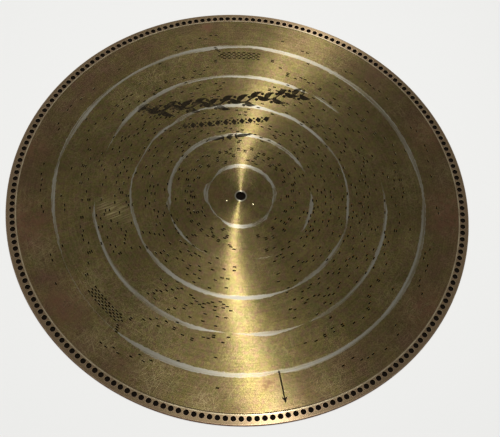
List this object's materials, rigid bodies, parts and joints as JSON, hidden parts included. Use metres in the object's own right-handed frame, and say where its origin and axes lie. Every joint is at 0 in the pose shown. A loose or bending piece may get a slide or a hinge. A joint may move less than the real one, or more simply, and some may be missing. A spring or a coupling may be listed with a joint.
{
  "type": "music box tune disc",
  "caption": "Large round sheet-metal tune disc for a disc music box, with punched note slots, hooked projections beneath and a ring of drive holes in a stepped, lipped rim.",
  "frame": {"origin": "on the disc's axis at the level of the lip's lower edge, where the disc rests on a table", "axes": "+Z along the disc's axis out of the label side, -Y towards the person reading the disc, whose start arrow lies near -Y"},
  "size_m": [0.6223, 0.6222, 0.0042],
  "materials": {
    "lacquered_sheet": "satin, gold lacquer over steel sheet, worn",
    "projections": "satin, the same sheet's underside, bent"
  },
  "bodies": {
    "root": {"tune_sheet": "lacquered_sheet", "bass_projections": "projections", "tenor_projections": "projections", "middle_projections": "projections", "treble_projections": "projections", "top_projections": "projections"}
  },
  "joints": []
}
